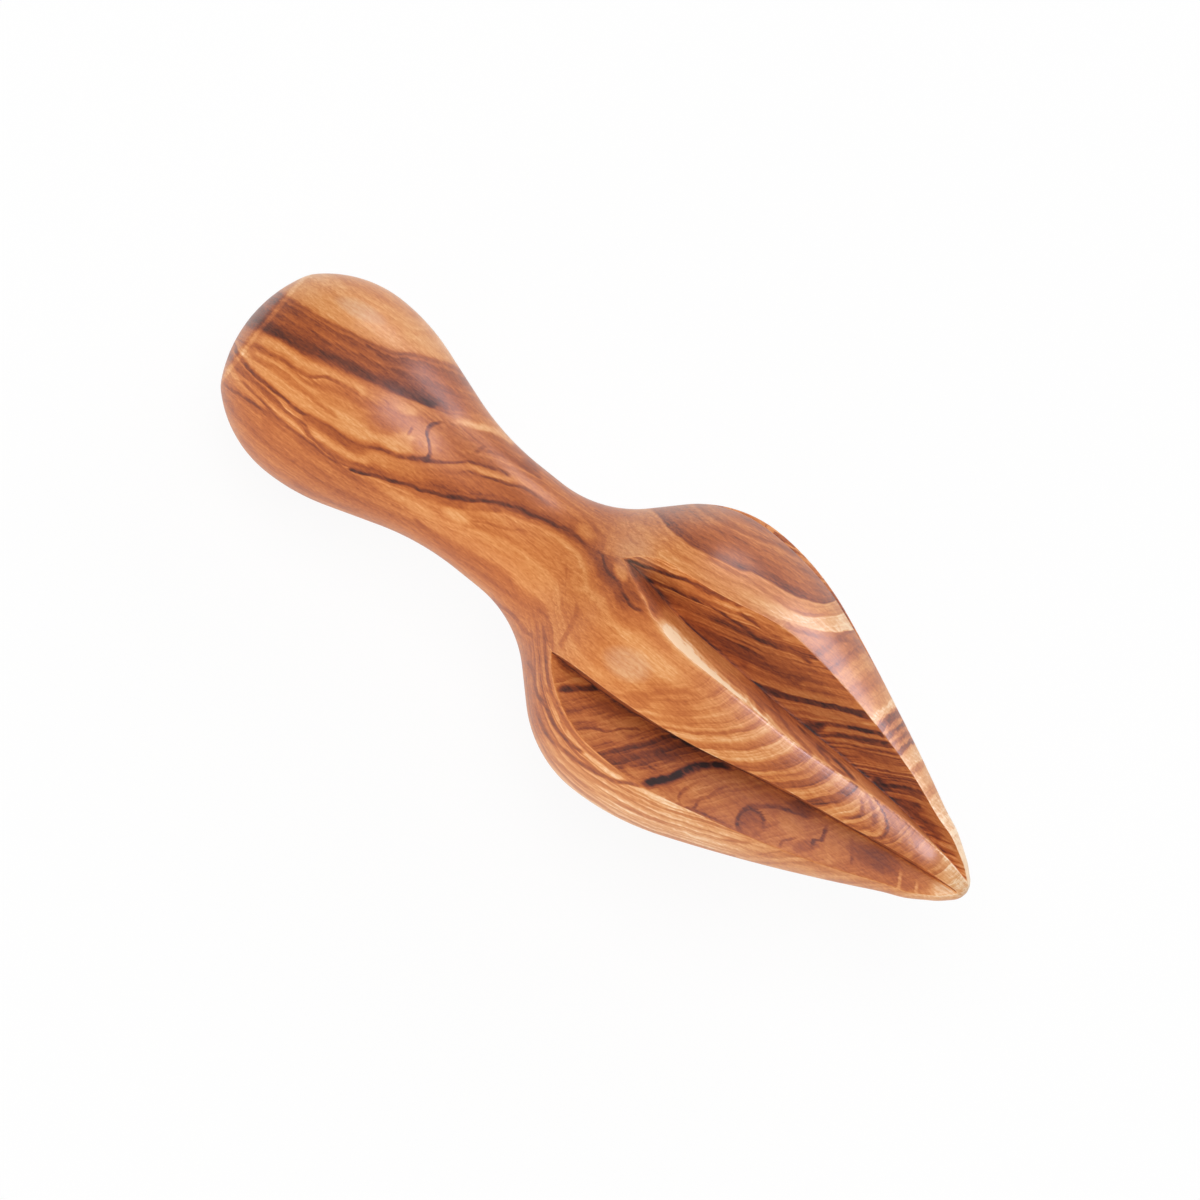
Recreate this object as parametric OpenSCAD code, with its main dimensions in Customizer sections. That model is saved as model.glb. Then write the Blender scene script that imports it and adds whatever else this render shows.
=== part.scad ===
// Wooden citrus reamer, turned from one billet of olive wood.
// A rounded grip, a waisted neck and a pointed head with V flutes cut into it.
// Lengths are in millimetres. It lies as it does on a table, tip towards +X.

/* [Overall] */
// Length from the end of the grip to the tip
length = 150; // [135:0.5:165]

/* [Grip] */
// Diameter of the grip at its fattest
grip_d = 35.8; // [32:0.2:39]
// Distance from the end of the grip to its fattest ring
grip_x = 17.6; // [16:0.2:20]
// Radius of the grip's side, from the end to the fattest ring
grip_front_r = 20; // [18.5:0.5:24]
// Radius of the grip's side, from the fattest ring towards the neck
grip_back_r = 35; // [20:1:44]
// Radius of the shallow dome on the grip's end
end_dome_r = 23; // [21:0.5:34]

/* [Neck] */
// Diameter of the neck
neck_d = 21.7; // [18:0.1:25]
// Distance from the end of the grip to where the neck runs straight
neck_x = 52; // [47:0.5:54]
// Length of the straight run
neck_run = 4.8; // [2:0.2:8]

/* [Head] */
// Diameter of the head at its fattest
head_d = 53.8; // [49:0.2:58]
// Distance from the end of the grip to the head's fattest ring
head_x = 89.6; // [87:0.2:93]
// Radius of the shoulder, on the neck's side of the fattest ring
shoulder_r = 20.5; // [16:0.5:23]
// Radius of the head just past its fattest ring
nose_r = 45; // [38:1:52]
// Radius of the long, nearly straight side that runs to the tip
side_r = 290; // [220:10:400]
// Radius of the tip
tip_r = 4.2; // [3.4:0.1:5.2]

/* [Flutes] */
// Number of flutes
flute_count = 6; // [5:1:7]
// Angle between the two walls of a flute
flute_angle = 80; // [70:1:88]
// Slope of a flute's root line against the axis, on its straight run
flute_slope = 16.7; // [15.5:0.1:18]
// Distance from the axis to the root line where it meets the tip
flute_exit_r = 1.9; // [1.4:0.1:2.8]
// How far short of the tip that is
flute_exit_back = 1; // [0.5:0.1:2]
// Radius of the root line where it turns up over the shoulder
flute_bend_r = 67; // [58:1:80]
// Distance from the end of the grip to where that bend starts
flute_bend_x = 96.7; // [93:0.5:100]
// Radius of the root itself
flute_root_r = 0.6; // [0.3:0.1:1]

/* [Hidden] */

olive_wood = "#c98a55";
turn_facets = 72;   // round the axis
arc_facets = 60;    // on a full circle of the outline
bend_facets = 120;  // on a full circle of the flutes' bend
ease = 0.93;        // below 1, a short straight run joins two arcs
flare_ease = 0.97;

grip_r = grip_d / 2;
neck_r = neck_d / 2;
head_r = head_d / 2;
neck_end_x = neck_x + neck_run;

// The outline is drawn as [distance from the axis, distance along it].
// Two opposite arcs that start and end parallel to the axis, and the
// straight run between them: the sum of their radii, then the run's slope
function arc_sum(along, rise, ease) = ease * (along * along + rise * rise) / (2 * rise);
function run_slope(along, rise, sum) =
    atan2(along, sum - rise) - acos(sum / norm([along, sum - rise]));

// Where two circles cross, on the side that is farther from the axis
function crossing(a, ra, b, rb) =
    let (d = norm(b - a),
         u = (b - a) / d,
         along = (ra * ra - rb * rb + d * d) / (2 * d),
         across = sqrt(ra * ra - along * along))
    a + along * u - across * [u[1], -u[0]];

// A point on a circle, by the slope of the outline there
function on_outside(centre, r, slope) = centre + r * [cos(slope), sin(slope)];
function on_inside(centre, r, slope) = centre - r * [cos(slope), sin(slope)];

// The grip
dome_c = [0, end_dome_r];
front_c = [grip_r - grip_front_r, grip_x];
rim = crossing(dome_c, end_dome_r, front_c, grip_front_r);
grip_top = [grip_r, grip_x];
back_c = [grip_r - grip_back_r, grip_x];
back_sum = arc_sum(neck_x - grip_x, grip_r - neck_r, ease);
back_slope = run_slope(neck_x - grip_x, grip_r - neck_r, back_sum);
waist_r = back_sum - grip_back_r;
waist_c = [neck_r + waist_r, neck_x];
back_end = on_outside(back_c, grip_back_r, back_slope);
waist_start = on_inside(waist_c, waist_r, back_slope);

// The shoulder
flare_sum = arc_sum(head_x - neck_end_x, head_r - neck_r, flare_ease);
flare_slope = run_slope(head_x - neck_end_x, head_r - neck_r, flare_sum);
flare_r = flare_sum - shoulder_r;
flare_c = [neck_r + flare_r, neck_end_x];
shoulder_c = [head_r - shoulder_r, head_x];
flare_end = on_inside(flare_c, flare_r, -flare_slope);
shoulder_start = on_outside(shoulder_c, shoulder_r, -flare_slope);
head_top = [head_r, head_x];

// The nose: its long side touches the arc behind it and the tip's circle
nose_c = [head_r - nose_r, head_x];
tip_c = [0, length - tip_r];
side_c = let (d = norm(tip_c - nose_c),
              u = (tip_c - nose_c) / d,
              a = side_r - nose_r,
              b = side_r - tip_r,
              along = (a * a - b * b + d * d) / (2 * d))
    nose_c + along * u - sqrt(a * a - along * along) * [u[1], -u[0]];
nose_end = side_c + side_r * (nose_c - side_c) / norm(nose_c - side_c);
side_end = side_c + side_r * (tip_c - side_c) / norm(tip_c - side_c);

// The flutes' root line: straight from the tip, then a bend over the shoulder
half_angle = flute_angle / 2;
exit_x = length - flute_exit_back;
bend = [flute_exit_r + (exit_x - flute_bend_x) * tan(flute_slope), flute_bend_x];
bend_slope = flute_slope - 3;   // the two runs meet at a faint crease of 3 degrees
bend_c = bend - flute_bend_r * [cos(bend_slope), sin(bend_slope)];
cutter_h = 0.7 * head_r;        // more than any flute is deep
bend_back = 18;                 // past this angle the bend's cutter is clear of the wood
overlap = 1.5;                  // degrees by which each run goes on, inside the other's cut
run_back = flute_bend_r * sin(overlap);
run_out = (length + head_r - flute_bend_x) / cos(flute_slope);

// How it lies: a flute points straight down, so that two ribs and the grip touch the table.
// The rib's edge, as a distance below the axis at a station on the shoulder
function shoulder_at(x) = shoulder_c[0] + sqrt(pow(shoulder_r, 2) - pow(head_x - x, 2));
function root_at(x) = bend_c[0] + sqrt(pow(flute_bend_r, 2) - pow(x - bend_c[1], 2));
function edge_at(x, t = pow(tan(half_angle), 2)) =
    (t * root_at(x) + sqrt((1 + t) * pow(shoulder_at(x), 2) - t * pow(root_at(x), 2))) / (1 + t);
function grip_low(lift) = front_c[1] * sin(lift) - front_c[0] * cos(lift) - grip_front_r;
function head_low(lift) =
    min([for (a = [0 : 0.2 : 20])
        let (x = head_x - shoulder_r * sin(a))
        x * sin(lift) - edge_at(x) * cos(lift)]);
function rest_lift(low = 0, high = 15, turns = 24) =
    let (mid = (low + high) / 2)
    turns == 0 ? mid
    : head_low(mid) < grip_low(mid) ? rest_lift(mid, high, turns - 1)
    : rest_lift(low, mid, turns - 1);
lift = rest_lift();
low_z = min(grip_low(lift), head_low(lift));
back_x = end_dome_r * cos(lift) - end_dome_r;
front_x = (length - tip_r) * cos(lift) + tip_r;

// The disc of one arc of the outline, between the rings at p and q
module arc_slab(p, q, centre, r) {
    intersection() {
        translate(centre) circle(r = r, $fn = arc_facets * max(1, round(r / head_d)));
        translate([0, p[1]]) square([head_d, q[1] - p[1]]);
    }
}

// Half of the lengthwise section, from the axis outwards: a polygon through the
// rings, filled out to the convex arcs and cut back to the hollow ones
module outline() {
    difference() {
        union() {
            polygon([[0, 0], rim, grip_top, back_end, waist_start, [neck_r, neck_x],
                     [neck_r, neck_end_x], flare_end, shoulder_start, head_top,
                     nose_end, side_end, [0, length]]);
            arc_slab([0, -tip_r], rim, dome_c, end_dome_r);
            arc_slab(rim, grip_top, front_c, grip_front_r);
            arc_slab(grip_top, back_end, back_c, grip_back_r);
            arc_slab(shoulder_start, head_top, shoulder_c, shoulder_r);
            arc_slab(head_top, nose_end, nose_c, nose_r);
            arc_slab(nose_end, side_end, side_c, side_r);
            arc_slab(side_end, [0, length + tip_r], tip_c, tip_r);
        }
        arc_slab(waist_start, [neck_r, neck_x], waist_c, waist_r);
        arc_slab([neck_r, neck_end_x], flare_end, flare_c, flare_r);
    }
}

// The flute's V, with its round root, opening along +Y
module flute_section() {
    root_y = flute_root_r / sin(half_angle);
    wall_y = root_y * pow(cos(half_angle), 2);
    wall_x = flute_root_r * cos(half_angle);
    top_x = cutter_h * tan(half_angle);
    polygon([[-wall_x, wall_y], [wall_x, wall_y], [top_x, cutter_h], [-top_x, cutter_h]]);
    translate([0, root_y]) circle(r = flute_root_r, $fn = 24);
}

// What the cutter takes out for one flute
module flute() {
    translate([bend[0], 0, bend[1]])
        rotate([0, -flute_slope, 0])
            rotate([0, 0, -90])
                translate([0, 0, -run_back])
                    linear_extrude(run_out + run_back) flute_section();
    translate([bend_c[0], 0, bend_c[1]])
        rotate([90, 0, 0])
            rotate([0, 0, -bend_back])
                rotate_extrude(angle = bend_back + bend_slope + overlap, $fn = bend_facets)
                    translate([flute_bend_r, 0]) rotate(-90) flute_section();
}

module reamer() {
    color(olive_wood)
        translate([-(back_x + front_x) / 2, 0, -low_z])
            rotate([0, 90 - lift, 0])
                difference() {
                    rotate_extrude($fn = turn_facets) outline();
                    for (i = [0 : flute_count - 1])
                        rotate([0, 0, i * 360 / flute_count]) flute();
                }
}

reamer();
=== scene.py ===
# Wooden citrus reamer: one turned piece of olive wood, lying as in the photograph
import math

import bpy
import numpy as np
from mathutils import Matrix, Vector


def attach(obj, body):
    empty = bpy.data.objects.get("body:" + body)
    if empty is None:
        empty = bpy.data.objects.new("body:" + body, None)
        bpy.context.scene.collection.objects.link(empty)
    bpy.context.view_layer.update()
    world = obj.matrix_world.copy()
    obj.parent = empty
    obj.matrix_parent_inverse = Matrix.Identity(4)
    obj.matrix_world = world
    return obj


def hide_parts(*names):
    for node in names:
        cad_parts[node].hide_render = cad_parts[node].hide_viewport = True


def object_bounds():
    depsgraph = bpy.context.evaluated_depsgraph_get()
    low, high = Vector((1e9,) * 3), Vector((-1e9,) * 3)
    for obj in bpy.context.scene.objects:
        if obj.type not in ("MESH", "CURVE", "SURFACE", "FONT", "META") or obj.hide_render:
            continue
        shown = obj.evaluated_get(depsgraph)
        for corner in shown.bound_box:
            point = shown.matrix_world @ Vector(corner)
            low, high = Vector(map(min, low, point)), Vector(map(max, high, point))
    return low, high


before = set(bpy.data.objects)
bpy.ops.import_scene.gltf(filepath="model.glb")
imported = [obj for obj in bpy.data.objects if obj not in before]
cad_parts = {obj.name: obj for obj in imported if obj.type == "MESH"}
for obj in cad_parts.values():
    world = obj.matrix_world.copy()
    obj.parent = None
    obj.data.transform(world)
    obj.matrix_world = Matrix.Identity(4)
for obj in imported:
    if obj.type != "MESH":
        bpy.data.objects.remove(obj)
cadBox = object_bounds()
print("frame loaded")

mm = 0.001

# The body as it comes off the lathe, in mm from the grip's end
turned = {
    "length": 150.0,
    "gripRadius": 17.9,
    "gripAt": 17.6,
    "gripFront": 20.0,       # arc radii from here on, unless they say otherwise
    "gripBack": 35.0,
    "endDome": 23.0,
    "neckRadius": 10.85,
    "neckAt": 52.0,
    "neckRun": 4.8,
    "headRadius": 26.9,
    "headAt": 89.6,
    "shoulder": 20.5,
    "nose": 45.0,
    "side": 290.0,
    "tip": 4.2,
    "neckEase": 0.93,        # below 1, a short straight run joins two arcs
    "shoulderEase": 0.97,
    "step": 0.36,            # between rings of the mesh
    "handRub": 0.45,         # how far sanding has rounded the turned corners
    "tipFuller": (0.42, 142.8, 2.6),     # how much, where and over what length
    "tipSlimmer": (-0.5, 148.7, 1.3),
}

# How it lies: head up a little, and seen from a direction turned round its axis
lie = {"lift": math.radians(6.634), "seenFrom": math.radians(22.2)}
axisDir = Vector((math.cos(lie["lift"]), 0, math.sin(lie["lift"])))
upDir = Vector((-math.sin(lie["lift"]), 0, math.cos(lie["lift"])))
sideDir = Vector((0, 1, 0))
faceDir = upDir * math.cos(lie["seenFrom"]) - sideDir * math.sin(lie["seenFrom"])
acrossDir = upDir * math.sin(lie["seenFrom"]) + sideDir * math.cos(lie["seenFrom"])


def findGripEnd():
    # the dome's end lies inside the CAD box, and the grip's fattest ring on the table
    front = turned["gripFront"]
    backX = turned["endDome"] * (1 - math.cos(lie["lift"]))
    height = (front + (turned["gripRadius"] - front) * math.cos(lie["lift"])
              - turned["gripAt"] * math.sin(lie["lift"]))
    return Vector((Vector(cadBox[0]).x + backX * mm, 0, height * mm))


gripEnd = findGripEnd()


def pairOfArcs(along, rise, ease):
    # two opposite arcs joined by a straight run: the sum of their radii, and its slope
    total = ease * (along ** 2 + rise ** 2) / (2 * rise)
    slope = math.atan2(along, total - rise) - math.acos(total / math.hypot(along, total - rise))
    return total, slope


def makeOutline():
    t = turned
    lineUp = []                                   # points as (x, radius)

    def turnTo(end, centre):
        start = lineUp[-1]
        first = math.atan2(start[1] - centre[1], start[0] - centre[0])
        last = math.atan2(end[1] - centre[1], end[0] - centre[0])
        radius = math.dist(start, centre)
        count = max(3, math.ceil(abs(last - first) * radius / t["step"]))
        for i in range(1, count + 1):
            angle = first + (last - first) * i / count
            lineUp.append((centre[0] + radius * math.cos(angle), centre[1] + radius * math.sin(angle)))

    def runTo(end):
        start = lineUp[-1]
        count = max(1, math.ceil(math.dist(start, end) / t["step"]))
        for i in range(1, count + 1):
            lineUp.append((start[0] + (end[0] - start[0]) * i / count,
                           start[1] + (end[1] - start[1]) * i / count))

    neckEnd = t["neckAt"] + t["neckRun"]
    backTotal, backSlope = pairOfArcs(t["neckAt"] - t["gripAt"], t["gripRadius"] - t["neckRadius"],
                                      t["neckEase"])
    flareTotal, flareSlope = pairOfArcs(t["headAt"] - neckEnd, t["headRadius"] - t["neckRadius"],
                                        t["shoulderEase"])
    waist = backTotal - t["gripBack"]
    flare = flareTotal - t["shoulder"]
    dome = (t["endDome"], 0)
    front = (t["gripAt"], t["gripRadius"] - t["gripFront"])
    back = (t["gripAt"], t["gripRadius"] - t["gripBack"])
    waistCentre = (t["neckAt"], t["neckRadius"] + waist)
    flareCentre = (neckEnd, t["neckRadius"] + flare)
    shoulder = (t["headAt"], t["headRadius"] - t["shoulder"])
    nose = (t["headAt"], t["headRadius"] - t["nose"])
    tip = (t["length"] - t["tip"], 0)

    def onArc(centre, radius, slope):
        return (centre[0] + radius * math.sin(slope), centre[1] + radius * math.cos(slope))

    def crossing(a, ra, b, rb):
        # where two circles cross, on the left of the line from b to a
        gap = math.dist(a, b)
        u = ((b[0] - a[0]) / gap, (b[1] - a[1]) / gap)
        along = (ra ** 2 - rb ** 2 + gap ** 2) / (2 * gap)
        across = -math.sqrt(ra ** 2 - along ** 2)
        return (a[0] + along * u[0] - across * u[1], a[1] + along * u[1] + across * u[0])

    sideCentre = crossing(nose, t["side"] - t["nose"], tip, t["side"] - t["tip"])

    def touching(centre, radius):
        # where an arc meets the long side, which touches it from outside
        gap = math.dist(centre, sideCentre)
        return tuple(sideCentre[i] + (centre[i] - sideCentre[i]) * t["side"] / gap for i in (0, 1))

    lineUp.append((0, 0))
    turnTo(crossing(dome, t["endDome"], front, t["gripFront"]), dome)
    turnTo((t["gripAt"], t["gripRadius"]), front)
    turnTo(onArc(back, t["gripBack"], backSlope), back)
    runTo(onArc(waistCentre, -waist, backSlope))
    turnTo((t["neckAt"], t["neckRadius"]), waistCentre)
    runTo((neckEnd, t["neckRadius"]))
    turnTo(onArc(flareCentre, -flare, -flareSlope), flareCentre)
    runTo(onArc(shoulder, t["shoulder"], -flareSlope))
    turnTo((t["headAt"], t["headRadius"]), shoulder)
    turnTo(touching(nose, t["nose"]), nose)
    turnTo(touching(tip, t["tip"]), sideCentre)
    turnTo((t["length"], 0), tip)
    return np.array(lineUp)


def rubDown(line):
    # sanding: each point moves to the mean of its neighbours, a few times over
    rubbed = line.copy()
    passes = round((turned["handRub"] / turned["step"]) ** 2 * 2)
    for _ in range(passes):
        rubbed[1:-1] = 0.25 * rubbed[:-2] + 0.5 * rubbed[1:-1] + 0.25 * rubbed[2:]
    for amount, place, spread in (turned["tipFuller"], turned["tipSlimmer"]):
        rubbed[:, 1] += amount * np.exp(-((rubbed[:, 0] - place) / spread) ** 2) * (line[:, 1] > 0.01)
    rubbed[-1, 1] = 0
    return rubbed


outline = rubDown(makeOutline())
print("outline:", len(outline), "rings, radius up to", round(float(outline[:, 1].max()), 2))


# The flutes, cut by hand: angles in degrees round the axis from the side that is seen,
# each as (mm from the grip's end, value) pairs that a smooth curve runs through
rootLine = {"slope": math.radians(16.6), "exitAt": 146.2, "exitRadius": 2.9, "bendAt": 97.5, "bend": 66.0}
flutes = [
    {"name": "upper", "root": [(70, 21.7), (76, 21.7), (90, 16.4), (100, 17.6), (112, 20.8), (122, 26.5), (129, 32), (136, 38),
              (148, 45)],
     "nearWall": [(76, 42), (90, 39.5), (105, 37), (118, 42), (140, 44), (148, 41)],
     "farWall": [(76, 36), (84, 33), (92, 38), (104, 46), (114, 46), (124, 41), (132, 35), (140, 24),
                 (148, 22)],
     "softNear": 0.9, "softFar": 0.16, "deeper": 0.0},
    {"name": "lower", "root": [(70, -34.5), (90, -34.5), (104, -33), (118, -29), (130, -25.5), (140, -22.5),
                               (148, -21)],
     "nearWall": [(76, 37), (90, 38.3), (104, 38.8), (118, 50), (130, 59), (142, 66), (148, 68)],
     "farWall": [(76, 41), (90, 37.2), (104, 32), (118, 30.8), (130, 26.6), (142, 28), (148, 25)],
     "softNear": 0.14, "softFar": 0.14, "deeper": 0.0},
    {"name": "top", "root": [(70, 85.0), (90, 86.0), (104, 89.0), (118, 91.0), (148, 94.0)],
     "nearWall": [(76, 37), (90, 39.5), (104, 33.2), (118, 34), (148, 34)],
     "farWall": [(76, 36), (90, 34), (104, 31), (118, 32), (130, 33.5), (148, 34)],
     "softNear": 0.18, "softFar": 0.16, "deeper": 0.0},
    {"name": "hiddenTop", "root": [(70, 142.5), (100, 141.5), (148, 143.0)],
     "nearWall": [(76, 38), (104, 37.5), (136, 42), (148, 44)],
     "farWall": [(76, 39), (104, 36), (136, 43), (148, 45)],
     "softNear": 0.16, "softFar": 0.18, "deeper": 0.1},
    {"name": "resting", "root": [(70, 202.0), (100, 202.2), (148, 200.0)],
     "nearWall": [(76, 41), (104, 40.5), (136, 44), (148, 43)],
     "farWall": [(76, 41), (104, 40.5), (136, 42), (148, 46)],
     "softNear": 0.18, "softFar": 0.18, "deeper": 0.14},
    {"name": "under", "root": [(70, 262.0), (100, 263.0), (148, 261.0)],
     "nearWall": [(76, 38), (104, 36), (136, 44), (148, 45)],
     "farWall": [(76, 38), (104, 37), (136, 41), (148, 44)],
     "softNear": 0.16, "softFar": 0.16, "deeper": 0.05},
]
carving = {"wallColumns": 15, "ribColumns": 26, "rootRound": 0.9, "firstWidth": 0.5}


def smoothThrough(pairs, at):
    # a smooth curve through a few points, level beyond the first and the last
    xs = np.array([p[0] for p in pairs], float)
    ys = np.array([p[1] for p in pairs], float)
    slopes = np.gradient(ys, xs) if len(xs) > 2 else np.full(len(xs), (ys[1] - ys[0]) / (xs[1] - xs[0]))
    slopes[0] = slopes[-1] = 0
    at = np.clip(at, xs[0], xs[-1])
    i = np.clip(np.searchsorted(xs, at) - 1, 0, len(xs) - 2)
    gap = xs[i + 1] - xs[i]
    u = (at - xs[i]) / gap
    return (ys[i] * (1 + 2 * u) * (1 - u) ** 2 + ys[i + 1] * u * u * (3 - 2 * u)
            + gap * slopes[i] * u * (1 - u) ** 2 - gap * slopes[i + 1] * u * u * (1 - u))


def rootRadius(x):
    # a straight run from the tip that bends level over the shoulder
    r = rootLine
    straight = r["exitRadius"] + (r["exitAt"] - x) * math.tan(r["slope"])
    centreX = r["bendAt"] - r["bend"] * math.sin(r["slope"])
    atBend = r["exitRadius"] + (r["exitAt"] - r["bendAt"]) * math.tan(r["slope"])
    centreR = atBend - r["bend"] * math.cos(r["slope"])
    fromTop = np.clip(x - centreX, 0, 0.9 * r["bend"])
    bent = centreR + np.sqrt(r["bend"] ** 2 - fromTop ** 2)
    return np.where(x < r["bendAt"], bent, straight)


def softMax(a, b, width):
    # the larger of two, rounded over where they meet, and how near that is
    share = np.clip(0.5 + 0.5 * (a - b) / width, 0, 1)
    return b + (a - b) * share + width * share * (1 - share), 4 * share * (1 - share)


def carve(rings):
    x, radius = rings[:, 0], np.maximum(rings[:, 1], 0.05)
    rootAt = rootRadius(x)
    cuts = []
    for flute in sorted(flutes, key=lambda f: f["root"][0][1] % 360):
        centre = smoothThrough(flute["root"], x)
        deep = np.maximum(rootAt - flute["deeper"], 0.3)
        walls = {}
        for name in ("nearWall", "farWall"):
            half = np.radians(smoothThrough(flute[name], x))
            reach = np.degrees(np.arccos(np.clip(deep * np.sin(half) / radius, -1, 1)) - (math.pi / 2 - half))
            walls[name] = (half, np.maximum(reach, carving["firstWidth"]))
        cuts.append((flute, centre, deep, walls))
    columns = []
    regions = []
    for i, (flute, centre, deep, walls) in enumerate(cuts):
        following = cuts[(i + 1) % len(cuts)]
        nearEdge = centre - walls["nearWall"][1]
        farEdge = centre + walls["farWall"][1]
        nextEdge = following[1] - following[3]["nearWall"][1]
        nextEdge = nextEdge + 360 * np.ceil((farEdge - nextEdge) / 360)
        parts = ((nearEdge, centre, carving["wallColumns"], flute["name"] + "Near"),
                 (centre, farEdge, carving["wallColumns"], flute["name"] + "Far"),
                 (farEdge, nextEdge, carving["ribColumns"], flute["name"] + "Rib"))
        for start, end, count, region in parts:
            for step in range(count):
                part = 0.5 - 0.5 * math.cos(math.pi * step / count)
                columns.append(start + (end - start) * part)
                regions.append(region)
    angle = np.radians(np.stack(columns, 1))
    inverse = np.repeat((1 / radius)[:, None], angle.shape[1], 1)
    ridge, root = 0 * inverse, 0 * inverse
    for flute, centre, deep, walls in cuts:
        off = (angle - np.radians(centre)[:, None] + math.pi) % (2 * math.pi) - math.pi
        sides = []
        for name, sign in (("nearWall", -1), ("farWall", 1)):
            slope = np.tan(walls[name][0])[:, None]
            sides.append((np.cos(off) - sign * np.sin(off) / slope) / deep[:, None])
        blunt = (carving["rootRound"] / deep ** 2)[:, None]
        vee, atRoot = softMax(-sides[0], -sides[1], blunt)
        soft = np.where(off < 0, flute["softNear"], flute["softFar"])
        soft = np.minimum(soft, 0.12 * radius[:, None]) / radius[:, None] ** 2
        within = -vee > inverse
        inverse, atEdge = softMax(inverse, -vee, soft)
        ridge = np.maximum(ridge, atEdge)
        root = np.maximum(root, atRoot * within)
    return angle, 1 / inverse, regions, ridge, root


angle, reach, regions, ridge, rootLines = carve(outline)
print("carved:", angle.shape[0], "rings of", angle.shape[1])


def makeBody():
    # rings from the grip's end to the tip, closed by one point at each end
    inner = slice(1, -1)
    x = outline[inner, 0][:, None] + 0 * angle[inner]
    across = reach[inner] * np.sin(angle[inner])
    depth = reach[inner] * np.cos(angle[inner])
    local = np.stack([x, across, depth], -1).reshape(-1, 3)
    local = np.vstack([local, [outline[0, 0], 0, 0], [outline[-1, 0], 0, 0]])
    turnInto = np.array([axisDir, acrossDir, faceDir])
    points = np.array(gripEnd) + local @ turnInto * mm
    rows, cols = angle[inner].shape
    first, last = rows * cols, rows * cols + 1
    faces = []
    for j in range(cols):
        k = (j + 1) % cols
        faces.append((first, j, k))
        faces.append((last, (rows - 1) * cols + k, (rows - 1) * cols + j))
        for i in range(rows - 1):
            a, b = i * cols, (i + 1) * cols
            faces.append((a + j, b + j, b + k, a + k))
    mesh = bpy.data.meshes.new("turnedBody")
    mesh.from_pydata([tuple(p) for p in points], [], faces)
    mesh.update()
    mesh.shade_smooth()
    turnedTo = np.repeat(outline[inner, 1], cols)
    marks = {"turnedRadius": turnedTo, "cutDepth": turnedTo - reach[inner].ravel(),
             "ridge": ridge[inner].ravel(), "root": rootLines[inner].ravel()}
    for region in ("upperNear", "upperFar", "lowerNear", "lowerFar", "upperRib", "lowerRib", "underRib"):
        marks[region] = np.tile(np.array([r == region for r in regions]), rows)
    for name, values in marks.items():
        onMesh = np.zeros(len(points), np.float32)
        onMesh[:rows * cols] = values
        mesh.attributes.new(name, "FLOAT", "POINT").data.foreach_set("value", onMesh)
    body = bpy.data.objects.new("turned_body", mesh)
    bpy.context.scene.collection.objects.link(body)
    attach(body, "root")
    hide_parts("reamer")
    return body


body = makeBody()
print("body made")

class Wire:
    # a node socket, so that shader maths reads as sums
    tree = None

    def __init__(self, socket):
        self.socket = socket

    @classmethod
    def feed(cls, value, target):
        if isinstance(value, Wire):
            cls.tree.links.new(value.socket, target)
        else:
            target.default_value = value

    @classmethod
    def node(cls, kind, settings=None, sockets=None, out=0):
        made = cls.tree.nodes.new(kind)
        for name, value in (settings or {}).items():
            if name == "stops":
                ramp = made.color_ramp
                while len(ramp.elements) < len(value):
                    ramp.elements.new(1.0)
                for element, (place, colour) in zip(ramp.elements, value):
                    element.position = place
                    element.color = colour
            elif name == "points":
                made.mapping.extend = "HORIZONTAL"
                line = made.mapping.curves[0].points
                while len(line) < len(value):
                    line.new(1.0, 1.0)
                for point, place in zip(line, value):
                    point.location = place
                    point.handle_type = "AUTO_CLAMPED"
                made.mapping.update()
            else:
                setattr(made, name, value)
        for key, value in (sockets or {}).items():
            cls.feed(value, made.inputs[key])
        return cls(made.outputs[out])

    @classmethod
    def maths(cls, operation, *values):
        return cls.node("ShaderNodeMath", {"operation": operation}, dict(enumerate(values)))

    @classmethod
    def group(cls, name, build, **given):
        # what build makes from the given wires, in a node group of its own
        outside = cls.tree
        inside = cls.tree = bpy.data.node_groups.new(name, "ShaderNodeTree")
        for key in given:
            inside.interface.new_socket(key, in_out="INPUT", socket_type="NodeSocketFloat")
        inside.interface.new_socket("tone", in_out="OUTPUT", socket_type="NodeSocketFloat")
        entry = inside.nodes.new("NodeGroupInput")
        made = build(**{key: cls(entry.outputs[key]) for key in given})
        cls.feed(made, inside.nodes.new("NodeGroupOutput").inputs[0])
        cls.tree = outside
        return cls.node("ShaderNodeGroup", {"node_tree": inside}, given)

    def __add__(self, other):
        return Wire.maths("ADD", self, other)

    __radd__ = __add__

    def __mul__(self, other):
        return Wire.maths("MULTIPLY", self, other)

    __rmul__ = __mul__

    def __sub__(self, other):
        return Wire.maths("SUBTRACT", self, other)

    def __rsub__(self, other):
        return Wire.maths("SUBTRACT", other, self)

    def __truediv__(self, other):
        return Wire.maths("DIVIDE", self, other)


def vectorMaths(operation, a, b, out=0):
    return Wire.node("ShaderNodeVectorMath", {"operation": operation}, {0: a, 1: b}, out)


def spread(value, low, high, toLow=0.0, toHigh=1.0):
    # from low to high with an easy start and end, and level outside them
    return Wire.node("ShaderNodeMapRange", {"interpolation_type": "SMOOTHSTEP", "clamp": False},
                     {"Value": value, "From Min": low, "From Max": high, "To Min": toLow, "To Max": toHigh})


def blend(a, b, factor):
    return Wire.node("ShaderNodeMix", {"data_type": "FLOAT"}, {0: factor, 2: a, 3: b})


def blendColour(a, b, factor, kind="MIX"):
    return Wire.node("ShaderNodeMix", {"data_type": "RGBA", "blend_type": kind}, {0: factor, 6: a, 7: b}, 2)


def mark(name):
    return Wire.node("ShaderNodeAttribute", {"attribute_name": name}, out=2)


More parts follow.
